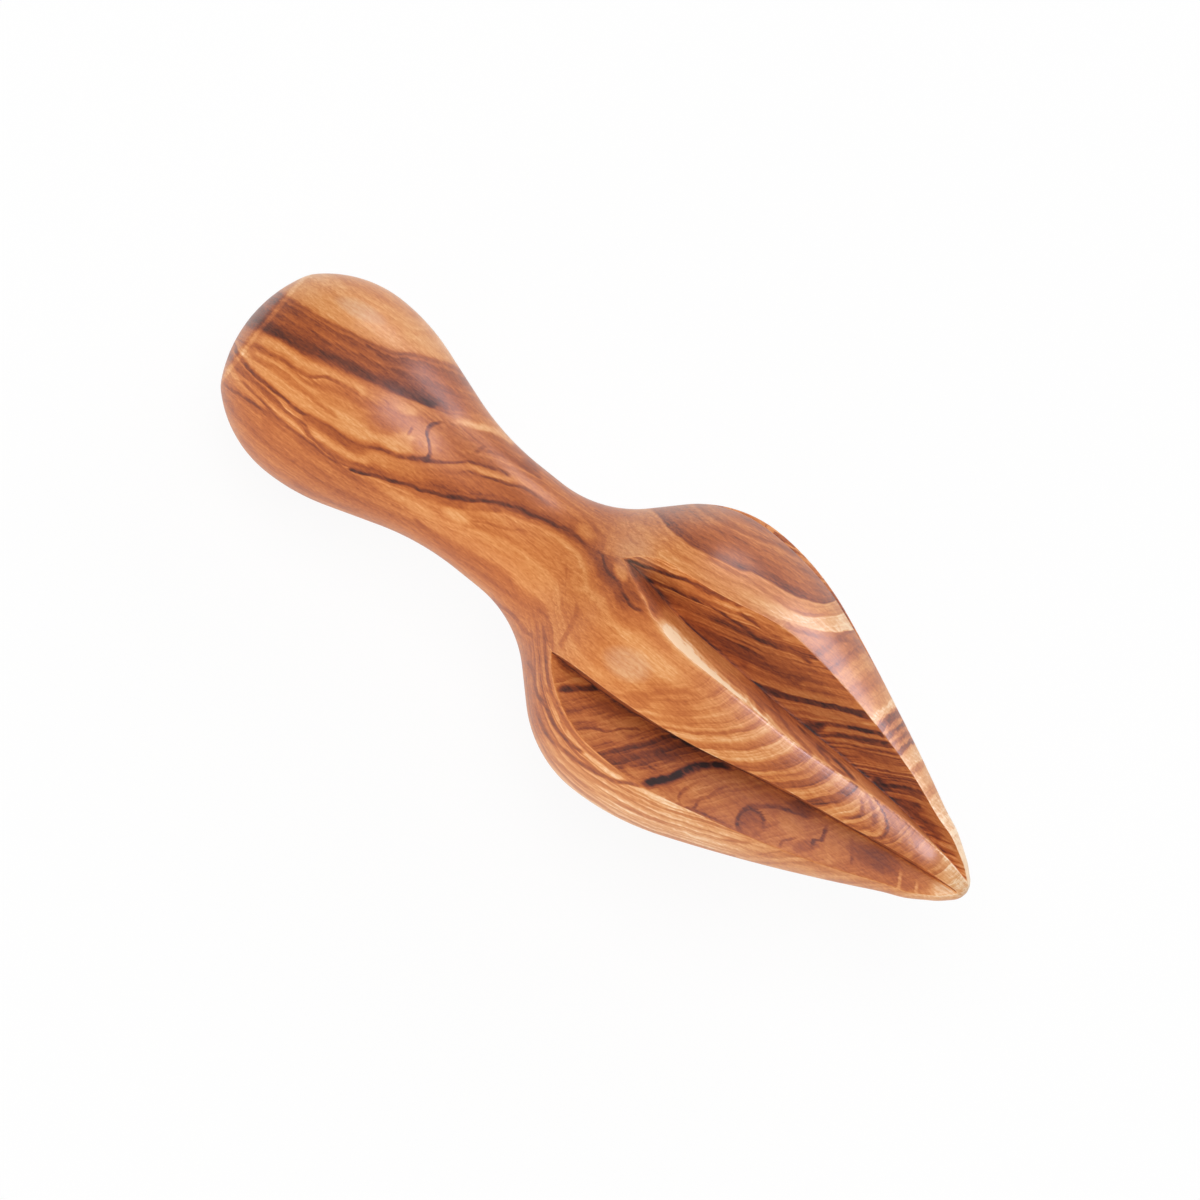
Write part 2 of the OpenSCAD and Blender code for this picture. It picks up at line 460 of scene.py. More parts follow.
def toneBands(value, low, high, stops):
    # tones for bands of the figure, from dark 0 to pale 1
    points = [((at - low) / (high - low), tone) for at, tone in stops]
    level = Wire.maths("MULTIPLY_ADD", value, 1 / (high - low), -low / (high - low))
    return Wire.node("ShaderNodeFloatCurve", {"points": points}, {"Value": level})


def noise(vector, scale, detail=2.0, rough=0.5, warp=0.0):
    return Wire.node("ShaderNodeTexNoise", {"noise_dimensions": "3D"},
                     {"Vector": vector, "Scale": scale, "Detail": detail, "Roughness": rough,
                      "Distortion": warp})


def place(x, y, z):
    return Wire.node("ShaderNodeCombineXYZ", sockets={0: x, 1: y, 2: z})


# The figure of the wood is laid in steps of 0.16 mm: first the place along, from the
# middle of the reamer towards the tip, then the place across. The lines run through the wood in
# one direction, so the same figure comes out on every surface that they meet.
figure = {
    "middle": 75.4,          # mm from the grip's end
    "stepAlong": 0.1636,
    "stepAcross": 0.1605,
    "lean": 0.105,           # how the lines lean along the axis as they go deeper
    "wander": 2.2,           # how far noise pushes the lines on the seen side
    "deepWander": 42.0,      # and on the far side
    "ragged": 3.0,           # and how far the smallest noise does
    "speckStreak": 0.15,     # strength in tone of the streaks, from the smallest to the broadest
    "fineStreak": 0.13,
    "thinStreak": 0.07,
    "broadStreak": 0.10,
    # paler on the sharp edges: partly worn wood, partly a painted highlight
    "edgeWearAndHighlight": 0.13,
    # darker in the roots of the flutes: painted shade in the creases
    "rootPaintedShade": 0.20,
    # paler over the tip: painted light
    "tipPaintedLight": 0.20,
    "tones": [
        (0.00, (0.035, 0.015, 0.012, 1)),
        (0.12, (0.100, 0.029, 0.018, 1)),
        (0.26, (0.230, 0.054, 0.021, 1)),
        (0.38, (0.370, 0.092, 0.026, 1)),
        (0.50, (0.490, 0.140, 0.036, 1)),
        (0.62, (0.600, 0.206, 0.056, 1)),
        (0.74, (0.710, 0.300, 0.100, 1)),
        (0.86, (0.810, 0.425, 0.190, 1)),
        (1.00, (0.960, 0.690, 0.450, 1)),
    ],
    # pale chalky spots, partly worn dry wood and partly painted sheen on the upper surfaces
    "chalkAndSheen": (0.62, 0.44, 0.32, 1),
    "drySpotsAndSheen": [(0.30, (50, -33), (28, 18), 15), (0.35, (-377, 76), (30, 10), 12), (0.16, (-10, 55), (22, 26), 60),
                 (0.16, (5, 130), (44, 16), 30)],
}


def follow(run, line):
    # how far across the line lies at a place along it, level beyond its ends
    first, last = line[0][0], line[-1][0]
    low, high = min(p[1] for p in line), max(p[1] for p in line) + 0.01
    points = [((x - first) / (last - first), (y - low) / (high - low)) for x, y in line]
    at = Wire.maths("MULTIPLY_ADD", run, 1 / (last - first), -first / (last - first))
    read = Wire.node("ShaderNodeFloatCurve", {"points": points}, {"Value": at})
    return Wire.maths("MULTIPLY_ADD", read, high - low, low), at


def lay(tone, run, side, veins, worn):
    # veins over the tone so far, each with its shade, half its width, its soft edge and its line;
    # one flank of a vein is sharp and the other fades out
    for shade, half, soft, line in veins:
        centre, at = follow(run, line)
        away = side - centre
        upper = Wire.maths("MULTIPLY_ADD", away, -1 / (half * 1.1 + soft * 1.2), 1.0)
        lower = Wire.maths("MULTIPLY_ADD", away, 1 / (half * 0.9 + soft * 0.6), 1.0)
        fade = spread(Wire.maths("MINIMUM", upper, lower), 0.0, 0.8, 0.0, worn)
        toEnd = min(0.4, 8 / (line[-1][0] - line[0][0]))
        within = spread(Wire.maths("ABSOLUTE", at - 0.5), 0.5 - toEnd, 0.5, 1.0, 0.0)
        tone = blend(tone, shade, fade * within)
    return tone


def lines(value, size, seed):
    # fine lines across a value that follows the figure, from -0.5 to 0.5
    return Wire.node("ShaderNodeTexNoise", {"noise_dimensions": "1D"},
                     {"W": value / size + seed, "Scale": 1.0, "Detail": 3.0, "Roughness": 0.6}) - 0.5


def wear(run, side, depth):
    # how strongly a vein shows from place to place
    return spread(noise(place(run * 0.055, side * 0.12, depth * 0.03), 1.0, 2.0), 0.30, 0.56, 0.50, 1.0)


def spot(along, across, strength, centre, size, turn):
    # how far inside a soft oval: its centre, half length and half width, and turn in degrees
    (x, y), (length, width) = centre, size
    c, d = math.cos(math.radians(turn)), math.sin(math.radians(turn))
    u = Wire.maths("MULTIPLY_ADD", along, c / length,
                   Wire.maths("MULTIPLY_ADD", across, d / length, -(x * c + y * d) / length))
    w = Wire.maths("MULTIPLY_ADD", along, -d / width,
                   Wire.maths("MULTIPLY_ADD", across, c / width, (x * d - y * c) / width))
    return spread(Wire.maths("MULTIPLY_ADD", u, u, w * w), 0.10, 1.2, strength, 0.0)


def dab(tone, along, across, patches):
    # soft patches, each with its shade and its oval
    for shade, *oval in patches:
        tone = blend(tone, shade, spot(along, across, *oval))
    return tone


def streaks(run, cross, deep, size, stretch, detail=3.0, rough=0.62):
    # noise drawn out along the run, from -0.5 to 0.5 and mostly within 0.2
    return noise(place(run / (size * stretch), cross / size, deep / (size * 3)), 1.0, detail, rough) - 0.5


grip = {
    "lines": [
        (0.20, [(-440, -76), (-400, -84), (-360, -86), (-320, -84), (-280, -78), (-240, -68), (-200, -58),
                (-160, -52), (-130, -48), (-100, -46), (-75, -50), (-50, -47), (-35, -54), (-20, -68),
                (-5, -84), (8, -97)]),
        (0.32, [(-440, -68), (-360, -62), (-285, -58), (-240, -50), (-200, -38), (-160, -18), (-120, 0),
                (-80, 8), (-62, 5), (-45, -12), (-25, -30), (10, -40)]),
        (0.42, [(-455, -42), (-400, -48), (-350, -52), (-335, -57), (-300, -57), (-285, -52), (-260, -43),
                (-220, -28), (-200, -18), (-180, -8), (-165, 5), (-150, 12), (-120, 21), (-100, 28),
                (-75, 33), (-45, 36), (-25, 27), (-10, 26), (0, 20), (20, 14), (40, 20)]),
        (0.52, [(-455, -30), (-440, -37), (-400, -41), (-360, -42), (-330, -39), (-300, -34), (-280, -24),
                (-262, -17), (-245, -9), (-230, -1), (-215, 10), (-200, 23), (-180, 34), (-160, 44),
                (-130, 50), (-80, 54), (-40, 60), (28, 72)]),
        (0.64, [(-455, -22), (-440, -18), (-400, -14), (-375, -8), (-355, 3), (-335, 11), (-310, 19),
                (-290, 28), (-265, 40), (-240, 45), (-215, 52), (-190, 58), (-160, 62), (-60, 70), (28, 93)]),
        (0.72, [(-455, -4), (-440, 1), (-400, 9), (-370, 16), (-340, 23), (-310, 31), (-280, 39),
                (-250, 48), (-230, 60), (-200, 72), (-150, 80), (28, 112)]),
        (0.90, [(-455, 40), (-430, 43), (-400, 47), (-370, 53), (-345, 60), (-328, 64), (-312, 75),
                (-295, 83), (-280, 90), (-262, 97), (-200, 110), (28, 137)]),
    ],
    "tones": [(0.0, 0.42), (0.08, 0.48), (0.14, 0.56), (0.18, 0.51), (0.20, 0.44), (0.23, 0.55),
              (0.30, 0.54), (0.32, 0.44), (0.345, 0.56), (0.38, 0.60), (0.42, 0.44), (0.44, 0.52),
              (0.47, 0.60), (0.505, 0.50), (0.52, 0.40), (0.545, 0.74), (0.58, 0.68), (0.61, 0.60),
              (0.635, 0.58), (0.645, 0.52), (0.66, 0.62), (0.695, 0.52), (0.715, 0.30), (0.74, 0.26),
              (0.78, 0.33), (0.86, 0.36), (0.89, 0.42), (0.905, 0.64), (0.93, 0.72), (1.0, 0.68)],
    "neckTones": [(0.0, 0.50), (0.10, 0.56), (0.19, 0.54), (0.20, 0.46), (0.22, 0.60), (0.27, 0.68),
                  (0.31, 0.62), (0.33, 0.54), (0.36, 0.60), (0.40, 0.46), (0.415, 0.36), (0.43, 0.38),
                  (0.45, 0.44), (0.475, 0.48), (0.485, 0.40), (0.50, 0.48), (0.515, 0.54), (0.54, 0.46),
                  (0.57, 0.54), (0.62, 0.56), (0.64, 0.42), (0.68, 0.54), (0.74, 0.62), (1.0, 0.66)],
    "veins": [
        (0.74, 3.4, 3, [(-440, -9), (-425, -7), (-412, -4), (-400, -2), (-385, 0), (-370, 4), (-355, 8),
                        (-340, 11), (-330, 13), (-316, 14)]),
        (0.36, 1.4, 2.4, [(-444, -19), (-425, -17), (-412, -14), (-400, -12), (-388, -11), (-375, -8),
                          (-368, -4), (-360, 2), (-350, 5), (-335, 8), (-322, 9)]),
        (0.72, 1.5, 2, [(-437, -24), (-420, -22), (-405, -19), (-390, -18), (-370, -18), (-350, -16)]),
        (0.54, 1.8, 2, [(-438, -31), (-420, -28), (-400, -25), (-380, -24), (-360, -24), (-325, -23)]),
        (0.16, 2.6, 5, [(-450, 0), (-440, 2), (-425, 5), (-412, 8), (-400, 11), (-380, 15), (-365, 20),
                        (-350, 23), (-330, 28), (-310, 34), (-290, 39), (-270, 44), (-255, 48)]),
        (0.24, 1.1, 2, [(-457, -33), (-445, -37), (-425, -41), (-410, -42), (-395, -42), (-380, -42),
                        (-368, -43), (-350, -40), (-325, -37), (-300, -34), (-288, -29), (-272, -21),
                        (-260, -17)]),
        (0.42, 3.5, 4, [(-358, -45), (-345, -43), (-325, -41), (-305, -39), (-290, -35), (-278, -30)]),
        (0.76, 2.6, 3, [(-343, -52), (-335, -52), (-320, -50), (-305, -48), (-290, -44), (-272, -38)]),
        (0.80, 0.6, 1.4, [(-398, -46), (-380, -47), (-370, -48.5), (-360, -49), (-350, -48)]),
        (0.34, 0.8, 1.6, [(-445, -47), (-430, -49), (-405, -47), (-392, -47), (-380, -49), (-370, -51),
                          (-350, -50), (-343, -53), (-335, -56), (-320, -57), (-305, -55), (-290, -50),
                          (-272, -44), (-255, -39)]),
        (0.34, 1.0, 2, [(-430, -54), (-415, -56), (-400, -57), (-385, -59), (-370, -61), (-350, -62),
                        (-330, -61), (-310, -60), (-290, -56)]),
        (0.30, 0.8, 1.8, [(-440, -68), (-430, -69), (-420, -67), (-410, -66), (-400, -65), (-385, -64),
                          (-372, -63)]),
        (0.42, 1.0, 3, [(-400, -100), (-380, -104), (-350, -105), (-320, -103), (-290, -97), (-250, -84)]),
        (0.46, 1.0, 2.5, [(-420, -78), (-390, -81), (-370, -82), (-350, -79), (-320, -78), (-290, -76)]),
        (0.84, 2.5, 4, [(-238, 47), (-228, 52), (-215, 58), (-205, 63), (-195, 67), (-185, 68), (-172, 67)]),
        (0.34, 1.0, 2.2, [(-197, 42), (-188, 47), (-178, 51), (-168, 54), (-158, 55), (-145, 56), (-128, 58)]),
        (0.74, 1.6, 2.4, [(-200, 22), (-190, 24), (-182, 26), (-176, 28), (-165, 33), (-150, 38)]),
        (0.26, 0.9, 2, [(-201, 6), (-196, 14), (-190, 18), (-183, 20), (-178, 22), (-172, 26), (-165, 29),
                        (-158, 31), (-150, 34), (-142, 38), (-130, 40), (-118, 40), (-106, 41)]),
        (0.42, 4.0, 5, [(-186, 8), (-170, 16), (-150, 24), (-130, 30), (-112, 34)]),
        (0.42, 3.0, 4, [(-232, -37), (-200, -27), (-180, -16), (-165, -7), (-150, 2), (-138, 8)]),
        (0.28, 1.2, 2.6, [(-262, -18), (-252, -14), (-245, -9), (-238, -5), (-230, 0), (-222, 5), (-215, 10),
                          (-208, 16), (-202, 22), (-195, 27), (-185, 32), (-175, 36), (-168, 39), (-155, 41)]),
        (0.14, 2.0, 3, [(-250, -10), (-240, -5), (-232, -1), (-224, 4)]),
        (0.14, 1.0, 2.2, [(-292, -57), (-275, -52), (-262, -46), (-250, -41), (-240, -36), (-230, -31),
                          (-221, -29), (-210, -24), (-200, -20), (-192, -14), (-185, -10), (-177, -7),
                          (-170, -2), (-163, 4), (-155, 9), (-148, 12), (-140, 16), (-130, 20), (-120, 22),
                          (-110, 25), (-100, 28), (-90, 30), (-80, 34), (-70, 35), (-60, 34), (-50, 35.5),
                          (-40, 36), (-33, 33), (-27, 28), (-18, 26), (-10, 25), (0, 20), (8, 17),
                          (17, 14), (25, 15.5), (34, 20)]),
        (0.14, 1.6, 3, [(-196, -16), (-188, -12), (-180, -8), (-173, -5), (-166, 1), (-160, 6)]),
        (0.46, 0.6, 1.8, [(-162, -21), (-150, -14), (-140, -9), (-130, -5), (-122, -1), (-115, 4), (-106, 7)]),
        (0.46, 1.0, 2.4, [(-210, -54), (-180, -57), (-160, -60), (-140, -59), (-120, -56), (-100, -54),
                          (-80, -53), (-60, -53)]),
        (0.48, 1.0, 2.4, [(-160, -50), (-140, -47), (-120, -43), (-105, -40), (-88, -42)]),
        (0.34, 1.2, 2.4, [(-100, -67), (-85, -69), (-75, -68), (-60, -70), (-50, -73), (-40, -72), (-30, -74),
                          (-25, -80), (-15, -87), (-5, -94), (5, -98), (12, -99)]),
        (0.40, 1.0, 2.4, [(-82, 57), (-72, 54), (-62, 53), (-50, 51), (-40, 50), (-30, 48), (-19, 46)]),
        (0.42, 0.8, 1.8, [(-60, -46), (-48, -46.5), (-38, -49), (-30, -54), (-22, -62), (-15, -72), (-8, -80),
                          (-2, -85)]),
        (0.46, 0.7, 1.6, [(-60, -53), (-48, -54), (-38, -58), (-30, -64), (-22, -72), (-10, -82)]),
        (0.44, 1.0, 2.0, [(-55, -80), (-40, -80), (-33, -83), (-25, -89), (-17, -93), (-5, -100), (10, -107)]),
    ],
    "upright": [
        (0.18, 1.5, 2.5, [(-10, -251), (-5, -242), (0, -235), (5, -233), (10, -236), (16, -242), (22, -249),
                          (28, -251), (36, -247), (43, -241)]),
        (0.34, 1.2, 2.5, [(33, -203), (38, -199), (45, -198), (52, -196)]),
        (0.40, 0.8, 2.0, [(5, -262), (12, -263), (20, -265)]),
        (0.48, 1.6, 3.0, [(-66, -12), (-55, -15), (-40, -18), (-28, -20.5), (-19, -25), (-14, -33)]),
        (0.50, 0.8, 1.8, [(-8, -46), (-2, -52), (4, -57), (10, -62)]),
    ],
    "patches": [
        (0.46, 0.9, (-287, 3), (26, 14), 30), (0.76, 0.9, (-264, -9), (18, 7), 25),
        (0.74, 0.9, (-279, 26), (17, 6), 22), (0.50, 0.9, (-222, 26), (16, 16), 30),
        (0.54, 0.8, (-247, 6), (8, 8), 0), (0.40, 0.7, (-378, -63), (16, 5), 0),
        (0.40, 0.8, (-334, -65), (20, 6), -4), (0.44, 0.7, (-376, -77), (12, 8), -30),
        (0.46, 0.6, (-318, -77), (26, 5), 0), (0.78, 0.8, (-175, -25), (18, 8), 20),
        (0.76, 0.8, (-222, -46), (40, 5), 12), (0.30, 0.8, (-148, 61), (14, 5), 0),
        (0.66, 0.7, (-65, 44), (12, 8), -10), (0.70, 0.9, (-12, 34), (12, 6), -20),
        # the pale patch at (-378, 76) on the grip's top: partly a dry spot, partly a painted highlight
        (0.44, 0.8, (26, 7), (20, 9), -20), (0.80, 0.5, (-378, 76), (24, 9), 10),
        (0.70, 0.6, (-75, -25), (26, 18), 10), (0.74, 0.7, (-22, 78), (26, 12), 10),
    ],
}


def gripTone(along, across, fine, worn):
    # bands between laid lines, from the lowest to the topmost, then single veins and patches
    along, across = along + fine * 1.6, across + fine * 1.6
    level = None
    below, belowLine = 0.0, follow(along, grip["lines"][0][1])[0] - 50
    for value, line in grip["lines"] + [(1.0, None)]:
        here = follow(along, line)[0] if line else belowLine + 50
        part = Wire.maths("MINIMUM", (across - belowLine) / (here - belowLine), 1.0)
        part = Wire.maths("MAXIMUM", part, 0.0) * (value - below)
        level = part if level is None else level + part
        below, belowLine = value, here
    tone = blend(toneBands(level, 0.0, 1.0, grip["tones"]), toneBands(level, 0.0, 1.0, grip["neckTones"]),
                 spread(along, -270, -200))
    tone = tone + lines(level * 190 + fine * 5, 5.0, 3.0) * 0.34 + lines(level * 190 + fine * 9, 15.0, 9.0) * 0.34
    tone = dab(tone, along, across, grip["patches"])
    tone = lay(tone, along, across, grip["veins"], worn)
    tone = lay(tone, across, along, grip["upright"], worn)
    # a painted highlight along the rim of the end face
    rimPaintedHighlight = spread(Wire.maths("ABSOLUTE", along + 443), 1.0, 3.4, 1.0, 0.0)
    return blend(tone, tone - 0.07, spread(along, -444, -449)) + rimPaintedHighlight * 0.13


# the wall that looks down into the upper flute: black veins that rise towards the tip
upperWall = {
    "flow": [(-19, 0), (50, 16), (100, 30), (160, 48), (220, 75), (300, 118), (360, 150), (450, 180)],
    "tones": [(-150, .56), (-125, .44), (-104, .40), (-92, .46), (-80, .50), (-66, .40), (-50, .46),
              (-40, .50), (-28, .52), (-15, .42), (0, .40), (15, .42), (25, .42), (38, .52), (48, .56), (60, .60)],
    "veins": [
        (0.56, 2.5, 3, [(4, 50), (20, 54), (35, 59), (50, 63), (65, 67), (80, 71)]),
        (0.60, 1.6, 2.5, [(105, 83), (120, 84), (135, 87), (148, 89)]),
        (0.60, 1.4, 3, [(120, 79), (140, 82), (155, 86), (172, 89)]),
        (0.28, 3.0, 5, [(85, 38), (105, 40), (125, 43), (140, 46), (160, 50), (180, 55), (200, 60)]),
        (0.30, 3.0, 5, [(60, 34), (90, 36), (120, 37), (150, 38)]),
        (0.58, 2.0, 3, [(188, 47), (205, 54), (220, 61), (235, 67), (252, 74)]),
        (0.56, 1.8, 3, [(213, 43), (230, 51), (250, 61), (266, 70)]),
        (0.56, 1.6, 3, [(244, 40), (258, 47), (272, 55), (285, 63)]),
        (0.52, 2.4, 4, [(284, 38), (300, 44), (316, 50), (334, 57)]),
        (0.36, 2.6, 4, [(276, 38), (292, 45), (306, 51), (318, 57)]),
        (0.52, 3.0, 5, [(360, 44), (385, 39), (410, 32), (440, 19)]),
        (0.26, 3.0, 5, [(340, 28), (360, 30), (385, 28), (405, 24)]),
        (0.12, 0.9, 2.4, [(-19, 46), (-10, 49), (0, 52), (12, 56), (22, 60), (32, 64), (42, 68), (50, 71),
                          (62, 74), (75, 77), (88, 80), (100, 84), (112, 87), (125, 90), (140, 92), (157, 95)]),
        (0.24, 1.5, 4, [(50, 69), (70, 74), (90, 79), (106, 83)]),
        (0.12, 0.8, 2.2, [(-3, 41), (10, 44), (25, 48), (40, 53), (55, 57), (70, 61), (85, 64), (100, 66),
                          (115, 68), (130, 68), (145, 71), (160, 73)]),
        (0.26, 1.0, 2.4, [(100, 76), (120, 77), (140, 79), (155, 83)]),
        (0.26, 0.9, 2.2, [(132, 73), (150, 74), (170, 78), (185, 81), (197, 82)]),
        (0.11, 1.2, 3.2, [(170, 33), (180, 35), (190, 38), (200, 42), (212, 48), (222, 54), (235, 61),
                          (248, 67), (262, 73), (276, 77)]),
        (0.08, 1.7, 3.6, [(218, 28), (228, 34), (238, 42), (250, 49), (262, 56), (275, 63), (290, 71),
                          (298, 72)]),
        (0.14, 1.0, 3, [(243, 34), (255, 41), (265, 47), (275, 53), (285, 59), (295, 65), (306, 70)]),
        (0.11, 1.8, 3.6, [(308, 30), (320, 32), (330, 36), (338, 41), (348, 46), (358, 51), (364, 53)]),
        (0.22, 0.8, 2, [(336, 39), (350, 44), (362, 49)]),
    ],
    "patches": [
        (0.26, 0.8, (6, 42), (22, 6), 10), (0.52, 0.6, (60, 50), (34, 8), 12), (0.16, 0.9, (232, 33), (12, 6), 40),
        (0.40, 0.8, (180, 66), (44, 9), 10), (0.50, 0.6, (222, 80), (30, 7), 0), (0.54, 0.7, (20, 44), (14, 3), 20),
        (0.16, 0.8, (322, 29), (12, 5), 20),
    ],
}


def upperWallTone(along, across, depth, worn):
    rise = across - follow(along, upperWall["flow"])[0]
    grain = streaks(along, rise, depth, 2.6, 22)
    along, across = along + grain * 3, across + grain * 3
    tone = toneBands(rise + grain * 8, -150, 60, upperWall["tones"])
    tone = tone + spread(lines(rise + grain * 5, 8.5, 2.0), -0.15, 0.10, -0.24, 0.13)
    tone = tone + lines(rise + grain * 4, 3.6, 5.0) * 0.50
    tone = dab(tone, along, across, upperWall["patches"])
    return lay(tone, along, across, upperWall["veins"], worn) + grain * 0.30


# the wall that looks up out of the upper flute: pale wood with a painted highlight in the cream strip along its edge,
# and thin dark lines towards the tip
upperBack = {
    "edge": [(-19, 45), (0, 38), (9, 31), (20, 26), (39, 18), (63, 13), (89, 11), (130, 10), (200, 10),
             (247, 10), (267, 14), (300, 17), (390, 16), (440, 11)],
    "veins": [
        (0.62, 3.0, 4, [(40, 30), (80, 28), (120, 27), (150, 29)]),
        (0.34, 0.6, 2.2, [(150, 32), (170, 30), (190, 24), (210, 18), (230, 14), (252, 11)]),
        (0.26, 0.7, 2.0, [(215, 27), (235, 23), (250, 20), (262, 17), (275, 15), (292, 17)]),
        (0.18, 0.7, 2.0, [(240, 25), (255, 22), (270, 21), (285, 20), (302, 18)]),
        (0.50, 0.7, 1.6, [(232, 20), (250, 16), (262, 13)]),
    ],
    "patches": [(0.22, 0.8, (-2, 40), (12, 5), -35), (0.60, 0.8, (23, 26), (10, 4), -25),
                (0.52, 0.8, (345, 21), (60, 5), -3)],
}


def upperBackTone(along, across, depth, worn):
    inset = across - follow(along, upperBack["edge"])[0]
    grain = streaks(along, inset, depth, 2.2, 30)
    along, across, inset = along + grain * 2, across + grain * 2, inset + grain * 4
    tapered = (inset + lines(along * 0.25 + inset * 0.4, 4.0, 2.0) * 8) * spread(along, 55, 185, 0.95, 3.0)
    # the cream strip along the edge: pale wood and a painted highlight
    pale = toneBands(tapered, 0, 24, [(0, .88), (3, 1.05), (7, 1.0), (11, .84), (16, .70), (24, .56)])
    brown = toneBands(inset, 0, 24, [(0, .62), (5, .60), (10, .50), (16, .54), (24, .40)])
    hatch = lines(along * 0.3 + across * 0.9 + grain * 8, 4.0, 1.0)
    pale = pale + lines(inset * 2 + along * 0.12, 4.0, 6.0) * 0.35 - spread(along, 130, 185, 0.0, 0.16)
    tone = blend(0.34 + hatch * 0.4, pale, spread(along, 34, 62))
    tone = blend(tone, brown + lines(inset * 1.6 + along * 0.3, 3.0, 4.0) * 0.4, spread(along, 175, 235))
    tone = dab(tone, along, across, upperBack["patches"])
    return lay(tone, along, across, upperBack["veins"], worn) + grain * 0.22


# the wall of the lower flute: red-brown, with two black veins and a knot
lowerWall = {
    "slant": 0.80,
    "tones": [(-140, .52), (-90, .46), (0, .50), (20, .42), (44, .40), (60, .52), (72, .46), (84, .36),
              (100, .30), (110, .36), (120, .42), (150, .52), (180, .48), (215, .46), (240, .50), (270, .52),
              (300, .46), (340, .44), (380, .42), (420, .46), (480, .46)],
    "veins": [
        (0.62, 2.0, 3, [(-14, -80), (-5, -86), (2, -91), (8, -96)]),
        (0.58, 2.6, 4, [(34, -118), (42, -111), (50, -104), (60, -97), (70, -92), (80, -87), (90, -80),
                        (101, -74)]),
        (0.30, 0.7, 2.2, [(47, -124), (53, -115), (60, -108), (68, -103), (76, -99), (85, -90), (95, -82),
                          (106, -76)]),
        (0.26, 2.6, 5, [(88, -124), (100, -114), (108, -107), (118, -97), (128, -89), (140, -81), (152, -72)]),
        (0.58, 2.0, 3, [(118, -118), (128, -110), (136, -104)]),
        (0.60, 2.6, 4, [(150, -113), (168, -109), (185, -105), (200, -101)]),
        (0.32, 0.7, 2.0, [(176, -113), (190, -108), (205, -103), (220, -99), (238, -97)]),
        (0.26, 1.2, 3.4, [(226, -74), (236, -65), (246, -58), (260, -50), (275, -43), (290, -37)]),
        (0.12, 3.0, 4.5, [(8, -99), (16, -93), (22, -89), (30, -82), (38, -75), (47, -68)]),
        (0.30, 0.6, 1.8, [(126, -101), (134, -99), (142, -98)]),
        (0.64, 1.4, 3, [(313, -46), (320, -53), (327, -60), (334, -65)]),
        (0.34, 1.6, 4, [(328, -27), (338, -37), (347, -48), (352, -56)]),
    ],
    "upright": [
        (-0.10, 4.8, 4.2, [(-122, 137), (-113, 139), (-107, 143), (-101, 148), (-94, 153), (-88, 157),
                          (-80, 161), (-72, 166), (-65, 172), (-58, 180), (-50, 191), (-46, 198)]),
        (0.36, 0.8, 2.2, [(-112, 184), (-104, 190), (-95, 189), (-85, 195), (-74, 200), (-64, 208)]),
        (0.36, 0.8, 2.4, [(-112, 178), (-100, 170), (-90, 173), (-80, 178)]),
        (0.20, 1.2, 2.8, [(-66, 306), (-60, 305), (-54, 303), (-49, 309), (-42, 307), (-32, 302)]),
        (0.32, 0.8, 2.0, [(-84, 282), (-76, 279), (-68, 284), (-60, 291)]),
        (0.68, 1.3, 2.6, [(-47, 403), (-38, 398), (-30, 393), (-20, 388)]),
        (0.66, 1.0, 2.2, [(-38, 419), (-28, 413), (-19, 408)]),
        (0.60, 0.9, 2.0, [(-26, 431), (-15, 425)]),
    ],
    "patches": [
        (0.34, 0.8, (3, -74), (12, 6), 0), (0.60, 0.8, (88, -97), (13, 5), 30), (0.34, 0.8, (66, -77), (22, 8), 20),
        (0.60, 0.8, (122, -113), (12, 5), 15), (0.40, 0.7, (158, -108), (8, 7), 0), (0.63, 0.9, (277, -57), (21, 12), -8),
        (0.24, 0.9, (272, -36), (18, 7), 15), (0.34, 0.8, (301, -64), (15, 8), 40), (0.27, 0.9, (362, -31), (34, 13), 12),
        (0.60, 0.6, (176, -96), (12, 9), 30), (0.36, 0.6, (405, -28), (14, 9), 30), (0.62, 0.8, (325, -52), (13, 9), -60),
        # the pale patch at (437, -12) is painted light on the tip
        (0.74, 0.9, (437, -12), (18, 12), 20),
    ],
    "knot": (243, -80),
}


def lowerWallTone(along, across, depth, worn):
    slant = along - (across + 118) * lowerWall["slant"]
    grain = streaks(across + along * 0.6, slant, depth, 3.0, 14)
    along, across = along + grain * 3, across + grain * 3
    tone = toneBands(slant + grain * 12, -140, 480, lowerWall["tones"])
    tone = (tone - 0.45) * 1.35 + 0.47
    tone = tone + lines(slant + grain * 12, 7.0, 2.0) * spread(along, 180, 240, 0.60, 0.25)
    tone = dab(tone, along, across, lowerWall["patches"])
    tone = lay(tone, along, across, lowerWall["veins"], worn)
    tone = lay(tone, across, along, lowerWall["upright"], worn)
    x, y = lowerWall["knot"]
    out = Wire.maths("SQRT", (along - x) * (along - x) + (across - y) * (across - y)) + grain * 4
    ring = toneBands(out, 0, 20, [(0, .37), (8, .35), (10.5, .33), (13, .18), (15, .25), (17.5, .48), (20, .5)])
    ring = blend(ring, 0.46, spread(along - across * 0.6, x - y * 0.6 - 2, x - y * 0.6 + 14, 0.0, 0.75))
    return blend(ring, tone, spread(out, 14.5, 18.5)) + grain * 0.22


def paintedShadeWallTone(along, across, depth, worn):
    # the wall under the middle rib: a dark red-brown tone that is painted shade, where the rib shadows it
    return 0.30 + lines(along * 0.5 - across, 5.0, 11.0) * 0.3 + worn * 0.04


